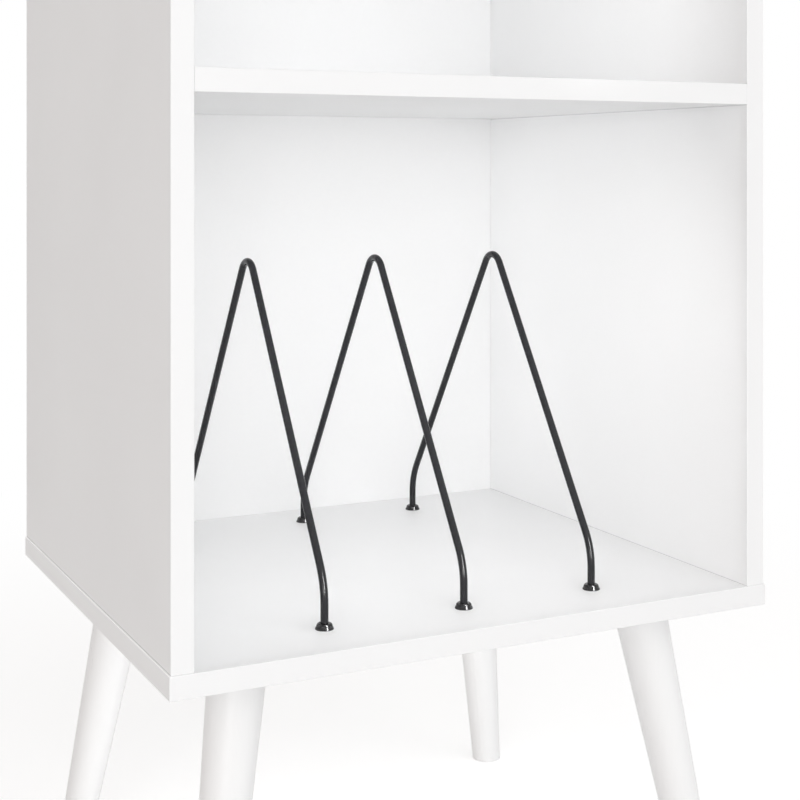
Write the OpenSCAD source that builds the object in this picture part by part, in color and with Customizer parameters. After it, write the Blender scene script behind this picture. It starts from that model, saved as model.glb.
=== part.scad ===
// Record storage stand: an open cabinet of white-faced boards with an upper compartment
// and a record compartment, on four splayed, tapered legs. Three bent-wire dividers stand
// in flared ferrules on the cabinet floor. Millimetres, +Z up; the origin is on the floor,
// under the centre of the cabinet, and the open front faces -Y.

/* [Cabinet] */
// Width over the outer faces of the two sides
body_w = 450; // [420:1:560]
// Depth of the sides, from front edge to back edge
body_d = 382; // [365:1:450]
// Thickness of the sides, shelf, top and bottom boards
board_t = 15; // [14:0.5:18]
// How far the top and bottom boards stand out past the sides' outer faces and front edges
lip = 1; // [0.5:0.5:4]
// Rounding of the boards' banded edges
band_r = 0.5; // [0.2:0.1:0.8]
// Clear height of the record compartment
lower_h = 350; // [325:1:420]
// Clear height of the upper compartment
upper_h = 200; // [140:1:300]

/* [Back panel] */
// Thickness of the hardboard back panel
back_t = 3; // [2.5:0.5:4]
// Wood left behind the back panel's groove at the back edge
back_inset = 6.5; // [5:0.5:9]
// Depth of the grooves that hold the back panel
groove_d = 5; // [4:0.5:6]
// Clearance between the back panel and each wall of its groove
groove_gap = 0.15; // [0.1:0.05:0.3]

/* [Legs] */
// Height of the bottom board's underside above the floor
leg_h = 229; // [160:1:300]
// Diameter of a leg where it meets the cabinet
leg_top_d = 40; // [34:0.5:46]
// Diameter of a leg at the floor
leg_foot_d = 25; // [23:0.5:30]
// Distance of a leg's axis, at its top, from the side's outer face
leg_inset_x = 67; // [58:1:75]
// Distance of a leg's axis, at its top, from the sides' front or back edges
leg_inset_y = 64; // [50:1:80]
// How far out to the side a foot's centre stands from the leg's top centre
leg_splay_x = 35.25; // [0:0.25:45]
// The same towards the front or the back
leg_splay_y = 33; // [0:0.5:45]

/* [Leg plates] */
// Width of the square steel plate on top of each leg
plate_w = 68; // [62:1:76]
// Thickness of the plate
plate_t = 2; // [1.5:0.5:3]
// Radius of the plate's corners
plate_corner_r = 8; // [4:0.5:10]
// Distance between the plate's corner holes
plate_pitch = 52; // [48:1:54]
// Radius of the ring of screws that hold a leg to its plate
leg_screw_ring = 9; // [7:0.5:10]
// Length of those screws
leg_screw_l = 25; // [20:1:30]
// Shank diameter of those screws
leg_screw_d = 4; // [3:0.5:5]
// Length of the screws that hold a plate to the bottom board
plate_screw_l = 13; // [11:0.5:14]
// Shank diameter of those screws
plate_screw_d = 3.8; // [3:0.1:4.5]

/* [Foot glides] */
// Diameter of the glide let into each foot
glide_d = 18; // [14:0.5:20]
// Thickness of the glide
glide_t = 2.5; // [2:0.5:4]
// How far the glide stands out below the foot
glide_proud = 0.5; // [0.3:0.1:1.5]
// Diameter of the glide's pin
glide_pin_d = 3; // [2:0.5:4]
// Length of the glide's pin
glide_pin_l = 12; // [8:1:18]

/* [Wire dividers] */
// Diameter of the divider wire
wire_d = 5.4; // [4:0.1:6.5]
// Height of a divider's top above the cabinet floor
divider_h = 237; // [180:1:300]
// Distance between the axes of a divider's two feet
divider_span = 284; // [240:1:300]
// Distance of the front foot's axis from the sides' front edges
divider_setback = 45; // [30:1:55]
// Bend radius at the divider's top, to the wire's axis
top_bend_r = 13; // [8:0.5:25]
// Bend radius above each foot, to the wire's axis
foot_bend_r = 45; // [20:1:60]
// Height of the straight part of a foot above the cabinet floor
foot_rise = 15.5; // [10:0.5:30]

/* [Ferrules] */
// Diameter of a ferrule where it stands on the cabinet floor
ferrule_base_d = 12.6; // [12:0.1:16]
// Diameter of a ferrule at its shoulder
ferrule_top_d = 11; // [10.2:0.1:11.6]
// Height of a ferrule above the cabinet floor
ferrule_h = 4; // [3.2:0.1:6]
// Rounding of a ferrule's shoulder
ferrule_round = 2; // [1:0.1:2.2]
// Outer diameter of a ferrule's sleeve, which sits in the cabinet floor
sleeve_d = 8; // [7.6:0.1:9]
// Length of a ferrule's sleeve
sleeve_l = 10; // [8:0.5:11]
// Clearance between the wire and its ferrule, all round
wire_gap = 0.1; // [0.05:0.05:0.3]

/* [Cam joints] */
// Distance of the outer cam, screw or bolt from the sides' front and back edges
fixing_setback = 50; // [40:1:70]
// Distance from a cam's or screw's axis to the dowel beside it
dowel_pitch = 32; // [25:1:40]
// Diameter of a cam lock
cam_d = 15; // [13:0.5:16]
// Distance from a board's end to the axis of its cam lock
cam_reach = 24; // [20:1:34]
// Wood left under a cam lock's pocket
cam_floor = 2.8; // [2:0.1:3.2]
// Diameter of a cam bolt's thread
cam_thread_d = 6; // [5:0.5:7]
// Depth that a cam bolt is screwed into its board
cam_thread_l = 10; // [8:0.5:11]
// Diameter of a cam bolt's head
cam_head_d = 6.8; // [6:0.2:7.2]
// Diameter of the bore that a cam bolt passes along
cam_bore_d = 8; // [7.6:0.1:9]
// Diameter of a cover cap over a cam lock
cap_d = 17; // [16.5:0.5:20]
// Thickness of a cover cap
cap_t = 1; // [0.6:0.1:2]

/* [Dowels and base screws] */
// Diameter of a dowel
dowel_d = 8; // [6:0.5:9]
// Length of a dowel
dowel_l = 30; // [25:1:40]
// Part of a dowel that sits in the face of a board
dowel_in = 10; // [8:0.5:11]
// Length of the screws that hold the sides to the bottom board
base_screw_l = 48; // [40:1:60]
// Thread diameter of those screws
base_screw_d = 5; // [4:0.5:6]
// Shoulder diameter of those screws
base_shoulder_d = 7; // [6.4:0.1:8]
// Length of the shoulder, with the head
base_shoulder_l = 11; // [8:0.5:12]
// Head diameter of those screws
base_head_d = 10; // [9:0.5:11]

/* [Hidden] */
$fn = 48;

// Colours of the finishes
white_board = "#f6f6f5";
white_leg = "#f2f2f0";
black_wire = "#2f2f33";
black_ferrule = "#242427";
zinc_steel = "#b4b7ba";
cast_zinc = "#9ea1a3";
beech = "#cfa877";
white_cap = "#ededeb";
grey_glide = "#b9b7b2";

// Clearances: a shank or pin in its hole, all round, and past its end
fit = 0.05;
end_gap = 0.3;
// Overshoot of a cut past the face that it opens
eps = 1;

// Heights above the floor
base_z = leg_h;
floor_z = base_z + board_t;
shelf_z = floor_z + lower_h;
shelf_top_z = shelf_z + board_t;
top_z = shelf_top_z + upper_h;
side_h = top_z - floor_z;

// Depth and width positions
front_y = -(body_d + lip) / 2 + lip;
back_y = front_y + body_d;
outer_x = body_w / 2;
inner_x = outer_x - board_t;
board_mid_x = outer_x - board_t / 2;
panel_y = back_y - back_inset - groove_gap - back_t;
shelf_mid_z = shelf_z + board_t / 2;

// Legs: total lean, its direction, and the length along the axis
leg_angle = atan2(norm([leg_splay_x, leg_splay_y]), leg_h);
leg_azimuth = atan2(leg_splay_y, leg_splay_x);
leg_axis_l = norm([leg_splay_x, leg_splay_y, leg_h]);
leg_top_x = outer_x - leg_inset_x;
leg_top_y = body_d / 2 - leg_inset_y;
body_mid_y = (front_y + back_y) / 2;

// Dividers: axis heights, and the lean of the straight legs that both bends are tangent to
wire_top_z = divider_h - wire_d / 2;
top_bend_z = wire_top_z - top_bend_r;
divider_mid_y = front_y + divider_setback + divider_span / 2;
bend_rise = top_bend_z - foot_rise;
bend_run = divider_span / 2 - foot_bend_r;
bend_apart = norm([bend_run, bend_rise]);
wire_angle = atan2(bend_run, bend_rise) + asin((foot_bend_r - top_bend_r) / bend_apart);
straight_l = bend_apart * cos(asin((foot_bend_r - top_bend_r) / bend_apart));
slots = 4;
divider_pitch = 2 * inner_x / slots;
// A bead at each joint of a bend: how far it stands proud, and the gap it bridges
bead_proud = 0.005;
bead_gap = 0.05;

// Cam lock: how far its face lies under the board's face, its height, and the slot in it
// that takes the neck of the bolt
cam_sink = 0.2;
cam_h = board_t - cam_floor - cam_sink;
cam_slot = 4.6;
cam_neck_d = 4;

// Chamfer of a dowel's ends, length of a screw's point, and straight rim of a base screw's head
dowel_chamfer = 0.8;
tip_l = 3;
head_rim = 0.5;

// ---------------------------------------------------------------- patterns

// Copies of the children at the front and back fixing places, moved inwards by "inboard"
module at_fixings(inboard = 0) {
    for (y = [front_y + fixing_setback + inboard, back_y - fixing_setback - inboard])
        translate([0, y, 0]) children();
}

// The children as built for the right-hand side, and mirrored for the left
module both_sides() {
    children();
    mirror([1, 0, 0]) children();
}

// Places the children at a leg's top centre, on the bottom board's underside
module at_leg(side, end) {
    translate([side * leg_top_x, body_mid_y + end * leg_top_y, base_z]) children();
}

// Places the children at the centre of a leg's foot, on the floor
module at_foot(side, end) {
    at_leg(side, end) translate([side * leg_splay_x, end * leg_splay_y, -leg_h]) children();
}

// Copies of the children at the corner screws of one leg plate, their +Z facing down
module at_plate_corners() {
    for (x = [-1, 1], y = [-1, 1])
        translate([x * plate_pitch / 2, y * plate_pitch / 2, -plate_t]) mirror([0, 0, 1])
            children();
}

// The same at all four plates
module at_plate_screws() {
    for (side = [-1, 1], end = [-1, 1]) at_leg(side, end) at_plate_corners() children();
}

// Copies of the children at the ring of screws in the middle of a leg plate
module at_leg_ring() {
    for (a = [90, 210, 330]) rotate([0, 0, a]) translate([leg_screw_ring, 0, 0]) children();
}

// Copies of the children at the six divider feet, on the cabinet floor
module at_feet() {
    for (i = [-1, 0, 1], e = [-1, 1])
        translate([i * divider_pitch, divider_mid_y + e * divider_span / 2, floor_z]) children();
}

// ---------------------------------------------------------------- fasteners

// Dowel along +Z, "dowel_in" of it below the origin
module dowel() {
    r = dowel_d / 2;
    translate([0, 0, -dowel_in]) rotate_extrude()
        polygon([[0, 0], [r - dowel_chamfer, 0], [r, dowel_chamfer],
            [r, dowel_l - dowel_chamfer], [r - dowel_chamfer, dowel_l], [0, dowel_l]]);
}

// Hole for a dowel, open on both sides of the joint
module dowel_hole() {
    translate([0, 0, -dowel_in - end_gap])
        cylinder(h = dowel_l + 2 * end_gap, r = dowel_d / 2 + fit);
}

// Cam bolt along +Z: thread below the origin, head on the cam lock's axis
module cam_bolt() {
    thread_r = cam_thread_d / 2;
    collar_r = min(cam_bore_d, cam_thread_d + 1.4) / 2 - fit;
    collar_h = 1.5;
    neck_r = cam_neck_d / 2;
    shaft_r = neck_r + 0.8;
    head_r = cam_head_d / 2;
    soft = 0.8;
    neck_z = cam_reach - cam_d / 2 - 0.5;
    head_z = cam_reach - 1.5;
    end_z = cam_reach + 1.2;
    rotate_extrude() polygon([[0, -cam_thread_l], [thread_r - soft, -cam_thread_l],
        [thread_r, soft - cam_thread_l], [thread_r, 0], [collar_r, 0], [collar_r, collar_h],
        [shaft_r, collar_h], [shaft_r, neck_z - soft], [neck_r, neck_z], [neck_r, head_z - soft],
        [head_r - soft / 2, head_z], [head_r, head_z + soft / 2], [head_r, end_z - soft],
        [head_r - soft, end_z], [0, end_z]]);
}

// Pilot hole for a cam bolt's thread, down from the origin
module cam_pilot() {
    translate([0, 0, -cam_thread_l - end_gap])
        cylinder(h = cam_thread_l + end_gap + eps, r = cam_thread_d / 2 + fit);
}

// Bore for a cam bolt, up from the origin to its cam lock's pocket
module cam_bore() {
    translate([0, 0, -eps]) cylinder(h = cam_reach + eps, d = cam_bore_d);
}

// Cam lock, its face up at z = -cam_sink, with the bolt coming in along -X
module cam_lock() {
    bolt_z = -board_t / 2;
    wall = 3;
    chamber_r = cam_d / 2 - wall;
    chamber_h = cam_head_d + 0.6;
    cross = [cam_d * 0.48, 1.2, 1.8];
    difference() {
        translate([0, 0, -cam_sink - cam_h]) cylinder(h = cam_h, r = cam_d / 2 - fit);
        // room for the bolt's head, and the opening that lets the head in
        translate([0, 0, bolt_z - chamber_h / 2]) cylinder(h = chamber_h, r = chamber_r);
        translate([0, 0, bolt_z]) rotate([90, 0, 0]) cylinder(h = cam_d, d = chamber_h);
        // slot that grips the bolt's neck as the cam turns
        translate([0, 0, bolt_z]) rotate([0, 0, -90]) rotate_extrude(angle = 115)
            translate([chamber_r - 1, -cam_slot / 2]) square([wall + 1, cam_slot]);
        // cross recess
        for (a = [45, 135]) rotate([0, 0, a])
            translate([-cross[0] / 2, -cross[1] / 2, -cam_sink - cross[2]])
                cube([cross[0], cross[1], cross[2] + eps]);
    }
}

// Pocket for a cam lock, down from the board's face at z = 0
module cam_pocket() {
    translate([0, 0, -cam_sink - cam_h]) cylinder(h = cam_sink + cam_h + eps, d = cam_d);
}

// Cover cap that lies on the board's face over a cam lock
module cam_cap() {
    rim_h = cap_t * 0.4;
    slope = 1.2;
    rotate_extrude() polygon([[0, 0], [cap_d / 2, 0], [cap_d / 2, rim_h],
        [cap_d / 2 - slope, cap_t], [0, cap_t]]);
}

// Countersunk screw: head up at z = 0, point down
module wood_screw(length, shank) {
    r = shank / 2;
    cross = [2 * r, 0.8, 1.2];
    difference() {
        rotate_extrude() polygon([[0, 0], [2 * r, 0], [r, -r], [r, tip_l - length],
            [0, -length]]);
        for (a = [0, 90]) rotate([0, 0, a]) translate([-cross[0] / 2, -cross[1] / 2, -cross[2]])
            cube([cross[0], cross[1], cross[2] + eps]);
    }
}

// Countersunk hole for that screw, through whatever it passes
module screw_hole(length, shank) {
    r = shank / 2 + fit;
    translate([0, 0, -length - end_gap]) cylinder(h = length + end_gap, r = r);
    translate([0, 0, -shank / 2]) cylinder(h = shank / 2, r1 = r, r2 = shank + fit);
    cylinder(h = eps, r = shank + fit);
}

// Base screw along +Z: head at the origin, shoulder in the bottom board, thread in the side
module base_screw() {
    head_h = (base_head_d - base_shoulder_d) / 2;
    socket_w = 4.6;
    socket_depth = 3.5;
    point = 1.5;
    difference() {
        rotate_extrude() polygon([[0, 0], [base_head_d / 2, 0], [base_head_d / 2, head_rim],
            [base_shoulder_d / 2, head_rim + head_h], [base_shoulder_d / 2, base_shoulder_l],
            [base_screw_d / 2, base_shoulder_l + 1], [base_screw_d / 2, base_screw_l - tip_l],
            [base_screw_d / 2 - point, base_screw_l], [0, base_screw_l]]);
        translate([0, 0, -eps]) cylinder(h = socket_depth + eps, d = socket_w, $fn = 6);
    }
}

// Hole for the head and shoulder of a base screw, through the bottom board
module base_shoulder_hole() {
    head_h = (base_head_d - base_shoulder_d) / 2;
    translate([0, 0, -eps]) cylinder(h = eps + head_rim, r = base_head_d / 2 + fit);
    translate([0, 0, head_rim]) cylinder(h = head_h, r1 = base_head_d / 2 + fit,
        r2 = base_shoulder_d / 2 + fit);
    cylinder(h = board_t + eps, r = base_shoulder_d / 2 + fit);
}

// Pilot hole for the thread of a base screw, in the side's end
module base_pilot() {
    cylinder(h = base_screw_l + end_gap, r = base_screw_d / 2 + fit);
}

// ---------------------------------------------------------------- placed joints

// A dowel, cam bolt or screw between a side's lower end and the bottom board
module at_base_joint(inboard = 0) {
    both_sides() translate([board_mid_x, 0, 0]) at_fixings(inboard) children();
}

// The same at the side's upper end: +Z of the children points down, into the side
module at_top_joint(inboard = 0) {
    both_sides() translate([board_mid_x, 0, top_z]) at_fixings(inboard)
        mirror([0, 0, 1]) children();
}

// The same at the shelf's ends: +Z of the children points into the shelf
module at_shelf_joint(inboard = 0) {
    both_sides() translate([inner_x, 0, shelf_mid_z]) at_fixings(inboard)
        rotate([0, -90, 0]) children();
}

// Cam lock places: +Z of the children points out of the board's face, +X towards the joint
module at_top_cams() {
    both_sides() translate([inner_x, 0, top_z - cam_reach]) at_fixings()
        rotate([0, -90, 0]) children();
}

module at_shelf_cams() {
    both_sides() translate([inner_x - cam_reach, 0, shelf_top_z]) at_fixings() children();
}

// ---------------------------------------------------------------- boards

// Groove for one edge of the back panel, cut "groove_d" into a board
module back_groove() {
    half = inner_x + groove_d;
    translate([-half, panel_y - groove_gap, floor_z - groove_d])
        cube([2 * half, back_t + 2 * groove_gap, side_h + 2 * groove_d]);
}

// Section of a board: depth along x from its banded, rounded edge, thickness along y
module board_section(depth) {
    translate([band_r, 0]) square([depth - band_r, board_t]);
    translate([0, band_r]) square([depth, board_t - 2 * band_r]);
    for (y = [band_r, board_t - band_r]) translate([band_r, y]) circle(r = band_r);
}

// Plain slab of the top or bottom board at height z, banded at its front and at both ends
module slab(z) {
    w = body_w + 2 * lip;
    d = body_d + lip;
    translate([0, front_y - lip, z]) intersection() {
        translate([-w / 2, 0, 0]) rotate([90, 0, 90]) linear_extrude(w) board_section(d);
        slab_end(w, d);
        mirror([1, 0, 0]) slab_end(w, d);
    }
}

// A slab of that size, banded at its left end only
module slab_end(w, d) {
    translate([-w / 2, d, 0]) rotate([90, 0, 0]) linear_extrude(d) board_section(w);
}

module bottom_board() {
    color(white_board) difference() {
        slab(base_z);
        back_groove();
        at_base_joint() translate([0, 0, base_z]) base_shoulder_hole();
        at_base_joint(dowel_pitch) translate([0, 0, floor_z]) dowel_hole();
        at_feet() ferrule_hole();
        at_plate_screws() screw_hole(plate_screw_l, plate_screw_d);
    }
}

module top_board() {
    color(white_board) difference() {
        slab(top_z);
        back_groove();
        at_top_joint() cam_pilot();
        at_top_joint(dowel_pitch) dowel_hole();
    }
}

// One side, built on the right
module side_board() {
    color(white_board) difference() {
        translate([outer_x, front_y, floor_z]) rotate([0, 0, 90])
            linear_extrude(side_h) board_section(body_d);
        back_groove();
        at_base_joint() translate([0, 0, base_z]) base_pilot();
        at_base_joint(dowel_pitch) translate([0, 0, floor_z]) dowel_hole();
        at_top_joint() cam_bore();
        at_top_joint(dowel_pitch) dowel_hole();
        at_top_cams() cam_pocket();
        at_shelf_joint() cam_pilot();
        at_shelf_joint(dowel_pitch) dowel_hole();
    }
}

// The shelf stands between the sides and ends just short of the back panel
module shelf() {
    color(white_board) difference() {
        translate([-inner_x, front_y, shelf_z]) rotate([90, 0, 90])
            linear_extrude(2 * inner_x) board_section(panel_y - end_gap - front_y);
        at_shelf_joint() cam_bore();
        at_shelf_joint(dowel_pitch) dowel_hole();
        at_shelf_cams() cam_pocket();
    }
}

module back_panel() {
    reach = groove_d - end_gap;
    color(white_board) translate([-inner_x - reach, panel_y, floor_z - reach])
        cube([2 * (inner_x + reach), back_t, side_h + 2 * reach]);
}

// ---------------------------------------------------------------- legs

// One turned leg, tapered along its leaning axis and cut level at both ends
module leg(side, end) {
    extra = leg_top_d;
    flare = (leg_top_d - leg_foot_d) / 2 / leg_axis_l * extra;
    top_r = leg_top_d / 2 + flare;
    foot_r = leg_foot_d / 2 - flare;
    azimuth = atan2(end * sin(leg_azimuth), side * cos(leg_azimuth));
    color(white_leg) difference() {
        at_leg(side, end) intersection() {
            rotate([0, 0, azimuth]) rotate([0, 180 - leg_angle, 0]) translate([0, 0, -extra])
                cylinder(h = leg_axis_l + 2 * extra, r1 = top_r, r2 = foot_r);
            translate([-leg_h, -leg_h, glide_proud - leg_h])
                cube([2 * leg_h, 2 * leg_h, leg_h - glide_proud - plate_t]);
        }
        at_foot(side, end) glide_hole();
        at_leg(side, end) at_leg_ring() screw_hole(leg_screw_l, leg_screw_d);
    }
}

// Recess and pin hole in a foot for its glide
module glide_hole() {
    cylinder(h = glide_t + fit, r = glide_d / 2 + fit);
    cylinder(h = glide_t + glide_pin_l + end_gap, r = glide_pin_d / 2 + fit);
}

// One glide: a disc with a softened rim, and the pin that holds it in the foot
module foot_glide(side, end) {
    soft = 0.3;
    point = 1;
    color(grey_glide) at_foot(side, end)
        rotate_extrude() polygon([[0, 0], [glide_d / 2 - soft, 0], [glide_d / 2, soft],
            [glide_d / 2, glide_t], [glide_pin_d / 2, glide_t],
            [glide_pin_d / 2, glide_t + glide_pin_l - point],
            [0, glide_t + glide_pin_l]]);
}

// Outline of a leg plate
module plate_outline() {
    inner = plate_w / 2 - plate_corner_r;
    square([plate_w, 2 * inner], center = true);
    square([2 * inner, plate_w], center = true);
    for (x = [-inner, inner], y = [-inner, inner]) translate([x, y]) circle(r = plate_corner_r);
}

// One steel plate: countersunk from above for the leg's screws, from below at its corners
module leg_plate(side, end) {
    color(zinc_steel) at_leg(side, end) difference() {
        translate([0, 0, -plate_t]) linear_extrude(plate_t) plate_outline();
        at_leg_ring() screw_hole(leg_screw_l, leg_screw_d);
        at_plate_corners() screw_hole(plate_screw_l, plate_screw_d);
    }
}

module leg_screws() {
    color(zinc_steel) for (side = [-1, 1], end = [-1, 1]) at_leg(side, end)
        at_leg_ring() wood_screw(leg_screw_l, leg_screw_d);
}

module plate_screws() {
    color(zinc_steel) at_plate_screws() wood_screw(plate_screw_l, plate_screw_d);
}

// ---------------------------------------------------------------- wire dividers

// Bend in the plane y-z, about the origin, from one angle to another and just short of both
module bend(radius, from, to) {
    short = asin(bead_gap / radius);
    rotate([90, 0, 90]) rotate([0, 0, from + short]) rotate_extrude(angle = to - from - 2 * short)
        translate([radius, 0]) circle(d = wire_d);
}

// Bead that joins the end of a straight run at the origin to the bend that follows
module bead() {
    sphere(d = wire_d + 2 * bead_proud);
}

// One leg of a divider: foot, bend and straight run, leaning in from +y to the top bend
module divider_leg() {
    translate([0, divider_span / 2, foot_rise]) {
        translate([0, 0, -foot_rise - sleeve_l]) cylinder(h = foot_rise + sleeve_l, d = wire_d);
        bead();
    }
    translate([0, divider_span / 2 - foot_bend_r, foot_rise]) {
        bend(foot_bend_r, 0, wire_angle);
        rotate([wire_angle, 0, 0]) translate([0, foot_bend_r, 0]) {
            bead();
            cylinder(h = straight_l, d = wire_d);
            translate([0, 0, straight_l]) bead();
        }
    }
}

// One divider: column -1, 0 or 1 counts from left to right
module divider(column) {
    color(black_wire) translate([column * divider_pitch, divider_mid_y, floor_z]) {
        translate([0, 0, top_bend_z]) bend(top_bend_r, wire_angle, 180 - wire_angle);
        divider_leg();
        mirror([0, 1, 0]) divider_leg();
    }
}

// Section of a ferrule: flared skirt, rounded shoulder, and a sleeve down into the floor
module ferrule_section() {
    bore = wire_d / 2 + wire_gap;
    base = ferrule_base_d / 2;
    top = ferrule_top_d / 2;
    rim_h = 0.4;
    round_c = [top - ferrule_round, ferrule_h - ferrule_round];
    arc = [for (a = [0 : 15 : 90]) round_c + ferrule_round * [cos(a), sin(a)]];
    polygon(concat([[bore, -sleeve_l], [sleeve_d / 2, -sleeve_l], [sleeve_d / 2, 0],
        [base, 0], [base, rim_h]], arc, [[bore, ferrule_h]]));
}

// One ferrule: end -1 is the front foot and 1 the back foot
module ferrule(column, end) {
    color(black_ferrule)
        translate([column * divider_pitch, divider_mid_y + end * divider_span / 2, floor_z])
            rotate_extrude() ferrule_section();
}

// Blind hole in the cabinet floor for a ferrule's sleeve
module ferrule_hole() {
    translate([0, 0, -sleeve_l - end_gap])
        cylinder(h = sleeve_l + end_gap + eps, r = sleeve_d / 2 + fit);
}

// ---------------------------------------------------------------- joint hardware

module base_screws() {
    color(zinc_steel) at_base_joint() translate([0, 0, base_z]) base_screw();
}

module base_dowels() {
    color(beech) at_base_joint(dowel_pitch) translate([0, 0, floor_z]) dowel();
}

module top_cam_bolts() {
    color(zinc_steel) at_top_joint() cam_bolt();
}

module top_cam_locks() {
    color(cast_zinc) at_top_cams() cam_lock();
}

module top_dowels() {
    color(beech) at_top_joint(dowel_pitch) dowel();
}

module shelf_cam_bolts() {
    color(zinc_steel) at_shelf_joint() cam_bolt();
}

module shelf_cam_locks() {
    color(cast_zinc) at_shelf_cams() cam_lock();
}

module shelf_dowels() {
    color(beech) at_shelf_joint(dowel_pitch) dowel();
}

module cam_covers() {
    color(white_cap) {
        at_top_cams() cam_cap();
        at_shelf_cams() cam_cap();
    }
}

bottom_board();
top_board();
mirror([1, 0, 0]) side_board();  // left_side
side_board();  // right_side
shelf();
back_panel();
leg(-1, -1);  // leg_front_left
leg(1, -1);  // leg_front_right
leg(-1, 1);  // leg_back_left
leg(1, 1);  // leg_back_right
leg_plate(-1, -1);  // leg_plate_front_left
leg_plate(1, -1);  // leg_plate_front_right
leg_plate(-1, 1);  // leg_plate_back_left
leg_plate(1, 1);  // leg_plate_back_right
foot_glide(-1, -1);  // foot_glide_front_left
foot_glide(1, -1);  // foot_glide_front_right
foot_glide(-1, 1);  // foot_glide_back_left
foot_glide(1, 1);  // foot_glide_back_right
divider(-1);  // divider_left
divider(0);  // divider_middle
divider(1);  // divider_right
ferrule(-1, -1);  // ferrule_left_front
ferrule(-1, 1);  // ferrule_left_back
ferrule(0, -1);  // ferrule_middle_front
ferrule(0, 1);  // ferrule_middle_back
ferrule(1, -1);  // ferrule_right_front
ferrule(1, 1);  // ferrule_right_back
leg_screws();
plate_screws();
base_screws();
base_dowels();
top_cam_bolts();
top_cam_locks();
top_dowels();
shelf_cam_bolts();
shelf_cam_locks();
shelf_dowels();
cam_covers();
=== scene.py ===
import math

import bpy
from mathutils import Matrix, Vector


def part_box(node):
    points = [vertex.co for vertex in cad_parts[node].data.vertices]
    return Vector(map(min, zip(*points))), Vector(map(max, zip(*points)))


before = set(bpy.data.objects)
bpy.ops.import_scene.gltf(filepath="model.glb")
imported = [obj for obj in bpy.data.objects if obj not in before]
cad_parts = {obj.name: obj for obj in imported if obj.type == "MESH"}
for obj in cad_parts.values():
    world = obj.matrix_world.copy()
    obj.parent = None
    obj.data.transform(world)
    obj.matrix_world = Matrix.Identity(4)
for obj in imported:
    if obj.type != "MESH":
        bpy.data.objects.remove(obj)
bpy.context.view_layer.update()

# ---- Camera -----------------------------------------------------------------------------
# A level camera stands to the left of the open front. Its picture is shifted down, as with a
# shift lens, so that the cabinet's upright edges stay upright, and its colours are left plain.
picture_width = 800.0
focal_pixels = 1508.24
horizon_row = 166.9
camera_place = (-0.50497, -1.05812, 0.54867)
camera_turn = 26.534

camera_data = bpy.data.cameras.new("camera")
camera_data.sensor_width = 36.0
camera_data.lens = focal_pixels / picture_width * camera_data.sensor_width
camera_data.shift_y = horizon_row / picture_width - 0.5
camera_data.clip_start = 0.05
camera_data.clip_end = 60.0
camera = bpy.data.objects.new("camera", camera_data)
camera.location = camera_place
camera.rotation_euler = (math.radians(90), 0, math.radians(-camera_turn))
bpy.context.scene.collection.objects.link(camera)
bpy.context.scene.camera = camera
bpy.context.scene.view_settings.view_transform = "Standard"


# ---- Studio room ------------------------------------------------------------------------
# A white room lights the stand softly, most from the front, less from the right, the back and
# above, and with a little warm light from the left. To the eye and in gloss it is plain white.
def fill_in(tree, socket, value):
    """Gives an input a value, or links it to the output given, or to a node's first output."""
    if isinstance(value, bpy.types.Node):
        value = value.outputs[0]
    if isinstance(value, bpy.types.NodeSocket):
        tree.links.new(value, socket)
    else:
        socket.default_value = value


def put(tree, kind, group=None, **inputs):
    """Adds a shader node, or a node group, and fills in the inputs named here."""
    node = tree.nodes.new(kind)
    if group:
        node.node_tree = group
    for name, value in inputs.items():
        fill_in(tree, node.inputs[name.replace("_", " ")], value)
    return node


def work_out(tree, operation, *values, kind="ShaderNodeMath"):
    """Adds a Math node, or a Vector Math node, and fills in its inputs from the first on."""
    node = tree.nodes.new(kind)
    node.operation = operation
    for place, value in enumerate(values):
        fill_in(tree, node.inputs[place], value)
    return node


def mix_shaders(tree, amount, first, second):
    """Adds a Mix Shader node, which shows the first shader at 0 and the second at 1."""
    node = tree.nodes.new("ShaderNodeMixShader")
    for place, value in enumerate((amount, first, second)):
        fill_in(tree, node.inputs[place], value)
    return node


def seen_directly(tree):
    """1 for a ray from the camera, a reflection or a transmission, and 0 for the others."""
    path = put(tree, "ShaderNodeLightPath").outputs
    mirrored = work_out(tree, "MAXIMUM", path["Is Camera Ray"], path["Is Glossy Ray"])
    return work_out(tree, "MAXIMUM", mirrored, path["Is Transmission Ray"])


room_fill = (0.12, 0.12, 0.12)
# Each glow has the side that it comes from, its tightness and its colour.
room_glows = [((0, -1, 0.2), 3, (1.5, 1.5, 1.5)), ((1, 0, 0), 2, (0.53, 0.53, 0.53)),
              ((0, 1, 0), 2, (0.45, 0.45, 0.45)), ((0, 0, 1), 2, (0.38, 0.38, 0.38)),
              ((-1, 0, 0), 2, (0.23, 0.15, 0.11))]

room = bpy.data.worlds.new("studio_room")
room.use_nodes = True
tree = room.node_tree
tree.nodes.clear()
direction = put(tree, "ShaderNodeTexCoord").outputs["Generated"]
room_light = room_fill
for towards, tightness, colour in room_glows:
    facing = work_out(tree, "DOT_PRODUCT", direction, Vector(towards).normalized(),
                      kind="ShaderNodeVectorMath")
    glow = work_out(tree, "MAXIMUM", facing.outputs["Value"], 0.0)
    glow = work_out(tree, "POWER", glow, tightness)
    room_light = work_out(tree, "MULTIPLY_ADD", glow, colour, room_light,
                          kind="ShaderNodeVectorMath")
lit_room = put(tree, "ShaderNodeBackground", Color=room_light, Strength=1.0)
white_room = put(tree, "ShaderNodeBackground", Color=(1, 1, 1, 1), Strength=1.0)
either_room = mix_shaders(tree, seen_directly(tree), lit_room, white_room)
put(tree, "ShaderNodeOutputWorld", Surface=either_room)
bpy.context.scene.world = room


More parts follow.
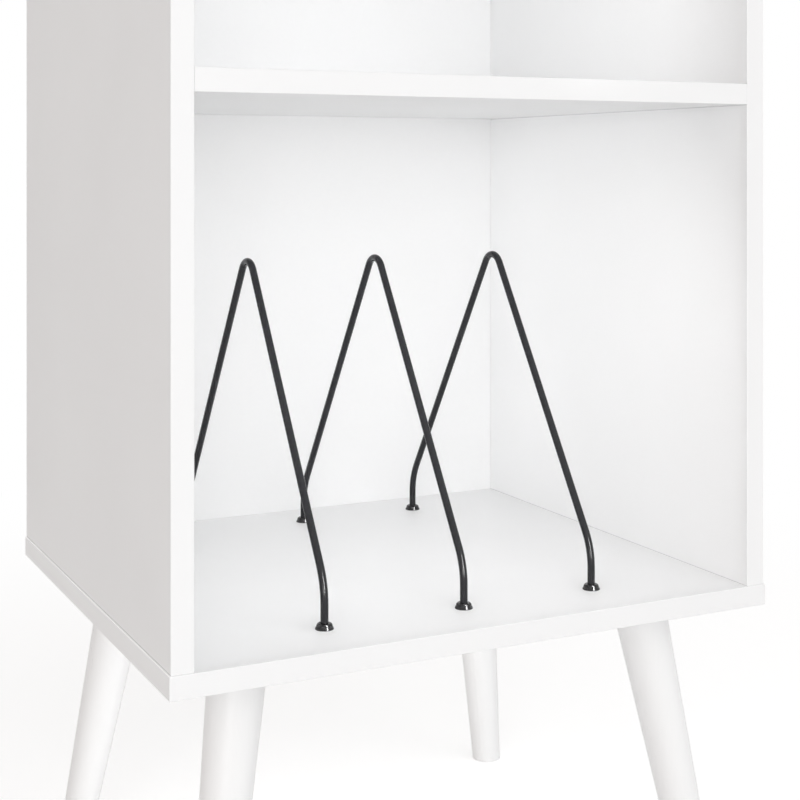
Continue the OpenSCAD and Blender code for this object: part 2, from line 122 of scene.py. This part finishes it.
# ---- Lamps ------------------------------------------------------------------------------
# One broad, low lamp stands at the front left, and small fills light what the boards shade. The
# rest light chosen pieces: two strips put gleams on the dividers, one lamp lights the bottom
# board's left edge, and one lights the right side near its back corner.
def lamp(name, place, wide, high, watts, down=0, right=0, spread=180, diffuse=True, gloss=True):
    """An area lamp that shines backwards, turned down and to the right by these degrees."""
    data = bpy.data.lights.new(name, "AREA")
    data.shape = "RECTANGLE"
    data.size = wide
    data.size_y = high
    data.energy = watts
    data.spread = math.radians(spread)
    lamp_object = bpy.data.objects.new(name, data)
    lamp_object.location = place
    lamp_object.rotation_euler = (math.radians(90 - down), 0, math.radians(-right))
    lamp_object.visible_camera = False
    lamp_object.visible_diffuse = diffuse
    lamp_object.visible_glossy = gloss
    bpy.context.scene.collection.objects.link(lamp_object)
    return lamp_object


def light_only(lamp_object, names, rule="INCLUDE"):
    """Lets a lamp light only these pieces, or with the rule EXCLUDE all but these."""
    pieces = bpy.data.collections.new(f"{lamp_object.name}_pieces")
    for name in names:
        pieces.objects.link(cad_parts[name])
    for member in pieces.collection_objects:
        member.light_linking.link_state = rule
    lamp_object.light_linking.receiver_collection = pieces


lamp("lamp_front_left", place=(-1.65, -2.55, 0.6), wide=1.4, high=0.5, watts=17, down=1, right=33)
# The next two leave out the shelf, whose underside stays a little darker.
fill_lower = lamp("fill_lower", place=(0, -0.185, 0.419), wide=0.41, high=0.343, watts=0.058,
                  gloss=False)
light_only(fill_lower, ["shelf"], "EXCLUDE")
fill_under_shelf = lamp("fill_under_shelf", place=(-0.05, -0.17, 0.52), wide=0.28, high=0.14,
                        watts=0.255, down=35, right=14, spread=160, gloss=False)
light_only(fill_under_shelf, ["shelf"], "EXCLUDE")
lamp("fill_upper", place=(-0.05, -0.17, 0.71), wide=0.28, high=0.16, watts=0.215, down=5,
     right=14, spread=150, gloss=False)
lamp("fill_legs", place=(-0.03, -0.09, 0.11), wide=0.28, high=0.14, watts=0.135, right=5,
     spread=160, gloss=False)
gleam_wires = lamp("gleam_wires", place=(-0.1, -2.8, 1.15), wide=0.3, high=1.5, watts=80,
                   down=13, diffuse=False)
light_only(gleam_wires, [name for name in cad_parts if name.startswith("divider")])
gleam_ferrules = lamp("gleam_ferrules", place=(0.23, -1.05, 1.02), wide=0.24, high=2.4,
                      watts=75, down=40, right=-14, diffuse=False)
light_only(gleam_ferrules, [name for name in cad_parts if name.startswith("ferrule")])
lamp_base_edge = lamp("lamp_base_edge", place=(-0.35, 0.06, 2.0), wide=0.1, high=0.6, watts=9,
                      down=90, gloss=False)
light_only(lamp_base_edge, ["bottom_board"])
fill_right_wall = lamp("fill_right_wall", place=(0.1, 0.11, 0.425), wide=0.07, high=0.33,
                       watts=0.029, right=90, gloss=False)
light_only(fill_right_wall, ["right_side"])

# ---- Floor ------------------------------------------------------------------------------
# The floor is pale paper that keeps the stand's soft shadow and turns into the white room
# further out. From below it is open, so that the underside can be looked at.
floor_half = 12.0
paper_white = (0.88, 0.88, 0.88, 1)
paper_lift = 0.405
white_from, white_by = 0.45, 1.5

floor_mesh = bpy.data.meshes.new("floor")
floor_mesh.from_pydata([(-floor_half, -floor_half, 0), (floor_half, -floor_half, 0),
                        (floor_half, floor_half, 0), (-floor_half, floor_half, 0)],
                       [], [(0, 1, 2, 3)])
floor = bpy.data.objects.new("floor", floor_mesh)
bpy.context.scene.collection.objects.link(floor)
floor_paper = bpy.data.materials.new("floor_paper")
floor_paper.use_nodes = True
tree = floor_paper.node_tree
tree.nodes.clear()
seen = seen_directly(tree)
paper = put(tree, "ShaderNodeBsdfDiffuse", Color=paper_white)
lift = put(tree, "ShaderNodeEmission", Color=(1, 1, 1, 1),
           Strength=work_out(tree, "MULTIPLY", seen, paper_lift))
near_floor = tree.nodes.new("ShaderNodeAddShader")
fill_in(tree, near_floor.inputs[0], paper)
fill_in(tree, near_floor.inputs[1], lift)
far_floor = put(tree, "ShaderNodeEmission", Color=(1, 1, 1, 1), Strength=1.0)
reach = work_out(tree, "LENGTH", put(tree, "ShaderNodeTexCoord").outputs["Object"],
                 kind="ShaderNodeVectorMath")
fade = put(tree, "ShaderNodeMapRange", Value=reach.outputs["Value"], From_Min=white_from,
           From_Max=white_by)
fade.interpolation_type = "SMOOTHSTEP"
top_of_floor = mix_shaders(tree, work_out(tree, "MULTIPLY", fade, seen), near_floor, far_floor)
from_below = put(tree, "ShaderNodeNewGeometry").outputs["Backfacing"]
open_below = mix_shaders(tree, from_below, top_of_floor, put(tree, "ShaderNodeBsdfTransparent"))
put(tree, "ShaderNodeOutputMaterial", Surface=open_below)
floor_mesh.materials.append(floor_paper)


# ---- Boards -----------------------------------------------------------------------------
# Bottom, sides, shelf and top are 15 mm particle board faced with white melamine, which has a
# faint pearl texture. Plastic bands are glued along their front edges, and the boards butt.
def new_group(name, inputs, outputs):
    """A shader node group with these kinds of sockets, and the two ends inside it."""
    group = bpy.data.node_groups.new(name, "ShaderNodeTree")
    for in_out, sockets in (("INPUT", inputs), ("OUTPUT", outputs)):
        for kind, socket_names in sockets.items():
            for socket_name in socket_names:
                group.interface.new_socket(name=socket_name, in_out=in_out,
                                           socket_type=f"NodeSocket{kind}")
    return group, put(group, "NodeGroupInput").outputs, put(group, "NodeGroupOutput").inputs


def mix_tones(tree, amount, first, second, blend="MIX"):
    """Mixes two colours, and gives the output that holds the mixed one."""
    node = tree.nodes.new("ShaderNodeMix")
    node.data_type = "RGBA"
    node.blend_type = blend
    fill_in(tree, node.inputs["Factor"], amount)
    tones = [socket for socket in node.inputs if socket.type == "RGBA"]
    fill_in(tree, tones[0], first)
    fill_in(tree, tones[1], second)
    return next(output for output in node.outputs if output.type == "RGBA")


# The surface finish varies tone and roughness in coarse patches and fine grain, which is raised.
surface_finish, given, result = new_group(
    "surface_finish",
    inputs={"Vector": ["Place"], "Color": ["Light Tone", "Dark Tone"],
            "Float": ["Patches", "Grain", "Smooth", "Rough", "Relief"]},
    outputs={"Color": ["Color"], "Float": ["Roughness"], "Vector": ["Normal"]})
patches = put(surface_finish, "ShaderNodeTexNoise", Vector=given["Place"],
              Scale=given["Patches"], Detail=3.0, Roughness=0.55)
grain = put(surface_finish, "ShaderNodeTexNoise", Vector=given["Place"], Scale=given["Grain"],
            Detail=2.0, Roughness=0.5)
blotch = put(surface_finish, "ShaderNodeMapRange", Value=patches.outputs["Fac"], From_Min=0.32,
             From_Max=0.68)
speck = put(surface_finish, "ShaderNodeMapRange", Value=grain.outputs["Fac"], From_Min=0.3,
            From_Max=0.7)
uneven = work_out(surface_finish, "ADD", blotch, speck)
uneven = work_out(surface_finish, "MULTIPLY", uneven, 0.5)
fill_in(surface_finish, result["Color"],
        mix_tones(surface_finish, uneven, given["Light Tone"], given["Dark Tone"]))
sheen = put(surface_finish, "ShaderNodeMapRange", Value=uneven, To_Min=given["Smooth"],
            To_Max=given["Rough"])
fill_in(surface_finish, result["Roughness"], sheen)
relief = put(surface_finish, "ShaderNodeBump", Strength=1.0, Height=grain.outputs["Fac"],
             Distance=given["Relief"])
fill_in(surface_finish, result["Normal"], relief)

# A hairline is drawn where one coordinate is at its place and |x| lies in the line's range.
hairline, given, result = new_group(
    "hairline",
    inputs={"Float": ["Along", "Place", "Half Width", "Outwards", "Nearest", "Furthest"]},
    outputs={"Float": ["Line"]})
in_line = work_out(hairline, "COMPARE", given["Along"], given["Place"], given["Half Width"])
beyond = work_out(hairline, "GREATER_THAN", given["Outwards"], given["Nearest"])
within = work_out(hairline, "LESS_THAN", given["Outwards"], given["Furthest"])
in_line = work_out(hairline, "MULTIPLY", in_line, beyond)
fill_in(hairline, result["Line"], work_out(hairline, "MULTIPLY", in_line, within))


def new_material(name, light, dark, patches, grain, smooth, rough, relief, stretch=(1, 1, 1),
                 turn=(0, 0, 0), **shader_values):
    """A material whose shader takes its colour, roughness and relief from the surface finish.

    light and dark are its tones, patches and grain are scales per metre, smooth and rough its
    least and greatest roughness, relief a height in metres, and stretch and turn lay the grain.
    """
    material = bpy.data.materials.new(name)
    material.use_nodes = True
    tree = material.node_tree
    tree.nodes.clear()
    laid = put(tree, "ShaderNodeMapping", Vector=put(tree, "ShaderNodeTexCoord").outputs["Object"],
               Rotation=turn, Scale=stretch)
    finish = put(tree, "ShaderNodeGroup", surface_finish, Place=laid, Light_Tone=(*light, 1),
                 Dark_Tone=(*dark, 1), Patches=patches, Grain=grain, Smooth=smooth, Rough=rough,
                 Relief=relief)
    finish.name = "finish"
    shader = put(tree, "ShaderNodeBsdfPrincipled", Base_Color=finish.outputs["Color"],
                 Roughness=finish.outputs["Roughness"], Normal=finish.outputs["Normal"],
                 **shader_values)
    shader.name = "shader"
    put(tree, "ShaderNodeOutputMaterial", Surface=shader)
    return material


def dress(names, material):
    """Gives these nodes of the frame their material."""
    for name in names:
        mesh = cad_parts[name].data
        mesh.materials.clear()
        mesh.materials.append(material)


def draw_lines(material, lines, line_tone):
    """Draws hairlines: each is an axis, a place, a width, and its least and greatest |x|."""
    tree = material.node_tree
    finish, shader = tree.nodes["finish"], tree.nodes["shader"]
    spot = put(tree, "ShaderNodeSeparateXYZ",
               Vector=put(tree, "ShaderNodeTexCoord").outputs["Object"]).outputs
    outwards = work_out(tree, "ABSOLUTE", spot["X"])
    drawn = 0.0
    for axis, place, width, (nearest, furthest) in lines:
        line = put(tree, "ShaderNodeGroup", hairline, Along=spot[axis], Place=place,
                   Half_Width=width / 2, Outwards=outwards, Nearest=nearest, Furthest=furthest)
        drawn = work_out(tree, "MAXIMUM", line, drawn)
    lined = mix_tones(tree, drawn, finish.outputs["Color"], (*line_tone, 1))
    fill_in(tree, shader.inputs["Base Color"], lined)


# The edge bands, their glue lines, and the board joints, dark seams with painted contact shade.
band_t = 0.0008
glue_t = 0.00018
joint_shade_t = 0.0009
front_joint_shade_t = 0.4 * joint_shade_t
outer_joint_shade_t = 2.2 * joint_shade_t
glue_line = (0.66, 0.655, 0.64)
joint_and_shade_tone = (0.67, 0.675, 0.68)
shelf_joint_and_shade_tone = (0.855, 0.86, 0.865)

bottom_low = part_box("bottom_board")[0]
side_low, side_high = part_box("right_side")
shelf_low, shelf_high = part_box("shelf")
top_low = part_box("top_board")[0]

# The ranges of |x| in which the lines are drawn. They overlap the sides' faces by a hair.
overlap = 0.0002
everywhere = (-1.0, 1.0)
inner_face = (-1.0, side_low[0] + overlap)
front_edge = (side_low[0] + overlap, side_high[0] - overlap)
outer_face = (side_high[0] - overlap, 1.0)


def melamine(name, lines, line_tone):
    """The melamine facing of one group of boards, with its own hairlines."""
    facing = new_material(name, light=(0.922, 0.924, 0.927), dark=(0.905, 0.907, 0.910),
                          patches=9.0, grain=950.0, smooth=0.40, rough=0.50, relief=0.000016,
                          Specular_IOR_Level=0.4)
    draw_lines(facing, lines, line_tone)
    return facing


dress(["bottom_board"], melamine(
    "melamine_bottom", [("Y", bottom_low[1] + band_t, glue_t, everywhere)], glue_line))
dress(["top_board"], melamine(
    "melamine_top", [("Y", top_low[1] + band_t, glue_t, everywhere)], glue_line))
# The joint lines on the sides are seams with painted contact shade.
dress(["left_side", "right_side"], melamine("melamine_side", [
    ("Y", side_low[1] + band_t, glue_t, everywhere),
    ("Z", side_low[2], joint_shade_t, inner_face),
    ("Z", side_low[2], front_joint_shade_t, front_edge),
    ("Z", side_low[2], outer_joint_shade_t, outer_face),
    ("Z", shelf_low[2], joint_shade_t, inner_face),
    ("Z", shelf_high[2], joint_shade_t, inner_face)], joint_and_shade_tone))
# The lines where the shelf meets the sides are seams with painted contact shade.
dress(["shelf"], melamine("melamine_shelf", [
    ("Y", shelf_low[1] + band_t, glue_t, everywhere),
    ("X", shelf_low[0], joint_shade_t, everywhere),
    ("X", shelf_high[0], joint_shade_t, everywhere)], shelf_joint_and_shade_tone))

# ---- Back panel -------------------------------------------------------------------------
# A sheet of 3 mm hardboard slides into grooves behind the compartments. Its front is lacquered
# smooth and white, and the lacquer on its back is thinner, so that fibres show through.
fibre_tone = (0.72, 0.66, 0.58)
rear_rougher_by = 0.22

panel_low, panel_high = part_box("back_panel")
panel_middle = (panel_low[1] + panel_high[1]) / 2
lacquered = new_material(
    "lacquered_hardboard", light=(0.924, 0.926, 0.929), dark=(0.908, 0.910, 0.913), patches=7.0,
    grain=420.0, smooth=0.42, rough=0.52, relief=0.00001, Specular_IOR_Level=0.5)
tree = lacquered.node_tree
finish, shader = tree.nodes["finish"], tree.nodes["shader"]
spot = put(tree, "ShaderNodeTexCoord").outputs["Object"]
depth = put(tree, "ShaderNodeSeparateXYZ", Vector=spot).outputs["Y"]
behind = work_out(tree, "GREATER_THAN", depth, panel_middle)
squeezed = put(tree, "ShaderNodeMapping", Vector=spot, Rotation=(0, 0.5, 0), Scale=(1, 1, 0.28))
fibres = put(tree, "ShaderNodeTexVoronoi", Vector=squeezed, Scale=260.0, Randomness=1.0)
flecks = put(tree, "ShaderNodeMapRange", Value=fibres.outputs["Distance"], From_Min=0.22,
             From_Max=0.05)
flecks = work_out(tree, "MULTIPLY", flecks, behind)
fill_in(tree, shader.inputs["Base Color"],
        mix_tones(tree, flecks, finish.outputs["Color"], (*fibre_tone, 1)))
rougher = work_out(tree, "MULTIPLY", behind, rear_rougher_by)
fill_in(tree, shader.inputs["Roughness"],
        work_out(tree, "ADD", finish.outputs["Roughness"], rougher))
dress(["back_panel"], lacquered)

# ---- Board fixings ----------------------------------------------------------------------
# Countersunk screws and beech dowels join the bottom board to the sides. Cam bolts, die-cast
# cam locks and more dowels hold the top and the shelf, and white push-in caps cover the locks.
zinc_plate = new_material(
    "zinc_plated_steel", light=(0.80, 0.81, 0.83), dark=(0.60, 0.61, 0.63), patches=140.0,
    grain=900.0, smooth=0.24, rough=0.42, relief=0.000012, Metallic=1.0)
dress(["base_screws", "top_cam_bolts", "shelf_cam_bolts"], zinc_plate)

cast_zinc = new_material(
    "cast_zinc", light=(0.66, 0.67, 0.68), dark=(0.47, 0.48, 0.49), patches=260.0, grain=1400.0,
    smooth=0.42, rough=0.62, relief=0.00004, Metallic=1.0)
dress(["top_cam_locks", "shelf_cam_locks"], cast_zinc)


def beech(name, stretch):
    """Beech whose grain is stretched along a dowel."""
    return new_material(
        name, light=(0.66, 0.47, 0.28), dark=(0.45, 0.28, 0.15), patches=300.0, grain=1600.0,
        smooth=0.55, rough=0.75, relief=0.00005, stretch=stretch, Specular_IOR_Level=0.35)


dress(["base_dowels", "top_dowels"], beech("beech_upright", (1, 1, 0.06)))
dress(["shelf_dowels"], beech("beech_lying", (0.06, 1, 1)))

cap_plastic = new_material(
    "cap_plastic", light=(0.91, 0.91, 0.905), dark=(0.88, 0.88, 0.872), patches=60.0,
    grain=2200.0, smooth=0.40, rough=0.52, relief=0.00002, Specular_IOR_Level=0.45)
dress(["cam_covers"], cap_plastic)

# ---- Legs -------------------------------------------------------------------------------
# Each leg is turned and tapered wood with sprayed white paint, through which the grain shows
# as a faint lengthwise relief. Three screws hold it to a zinc-plated plate, four hold the plate
# to the bottom board, and a plastic glide ends the leg.
corners = [f"{end}_{side}" for end in ("front", "back") for side in ("left", "right")]
side_lean, end_lean = math.radians(8.75), math.radians(8.2)
spangle_strength = 0.35

for corner in corners:
    sideways = -1 if "left" in corner else 1
    endways = -1 if "front" in corner else 1
    leg_paint = new_material(
        f"leg_paint_{corner}", light=(0.935, 0.936, 0.936), dark=(0.915, 0.916, 0.916),
        patches=40.0, grain=620.0, smooth=0.27, rough=0.38, relief=0.00003,
        stretch=(1, 1, 0.05), turn=(-endways * end_lean, sideways * side_lean, 0),
        Specular_IOR_Level=0.5)
    dress([f"leg_{corner}"], leg_paint)

spangled = new_material(
    "zinc_plated_sheet", light=(0.82, 0.83, 0.85), dark=(0.62, 0.63, 0.65), patches=320.0,
    grain=1200.0, smooth=0.26, rough=0.46, relief=0.000008, Metallic=1.0)
tree = spangled.node_tree
finish, shader = tree.nodes["finish"], tree.nodes["shader"]
spangle = put(tree, "ShaderNodeTexVoronoi", Scale=330.0, Randomness=1.0,
              Vector=put(tree, "ShaderNodeTexCoord").outputs["Object"])
spangle_grey = put(tree, "ShaderNodeRGBToBW", Color=spangle.outputs["Color"])
fill_in(tree, shader.inputs["Base Color"],
        mix_tones(tree, spangle_strength, finish.outputs["Color"], spangle_grey, "MULTIPLY"))
dress([f"leg_plate_{corner}" for corner in corners], spangled)
dress(["leg_screws", "plate_screws"], zinc_plate)

glide_plastic = new_material(
    "glide_plastic", light=(0.40, 0.39, 0.37), dark=(0.33, 0.32, 0.30), patches=90.0,
    grain=1800.0, smooth=0.5, rough=0.7, relief=0.00005, Specular_IOR_Level=0.4)
dress([f"foot_glide_{corner}" for corner in corners], glide_plastic)

# ---- Dividers ---------------------------------------------------------------------------
# Three steel wires are bent to steep triangles and coated with gloss black lacquer. Each foot
# stands in a low domed ferrule of black plastic, pushed into the bottom board.
columns = ("left", "middle", "right")

wire_lacquer = new_material(
    "black_wire_lacquer", light=(0.021, 0.021, 0.024), dark=(0.015, 0.015, 0.017),
    patches=120.0, grain=700.0, smooth=0.14, rough=0.20, relief=0.000012,
    Specular_IOR_Level=0.32)
dress([f"divider_{column}" for column in columns], wire_lacquer)

ferrule_plastic = new_material(
    "black_ferrule_plastic", light=(0.014, 0.014, 0.015), dark=(0.009, 0.009, 0.010),
    patches=200.0, grain=1500.0, smooth=0.10, rough=0.17, relief=0.000006,
    Specular_IOR_Level=0.5)
dress([f"ferrule_{column}_{end}" for column in columns for end in ("front", "back")],
      ferrule_plastic)
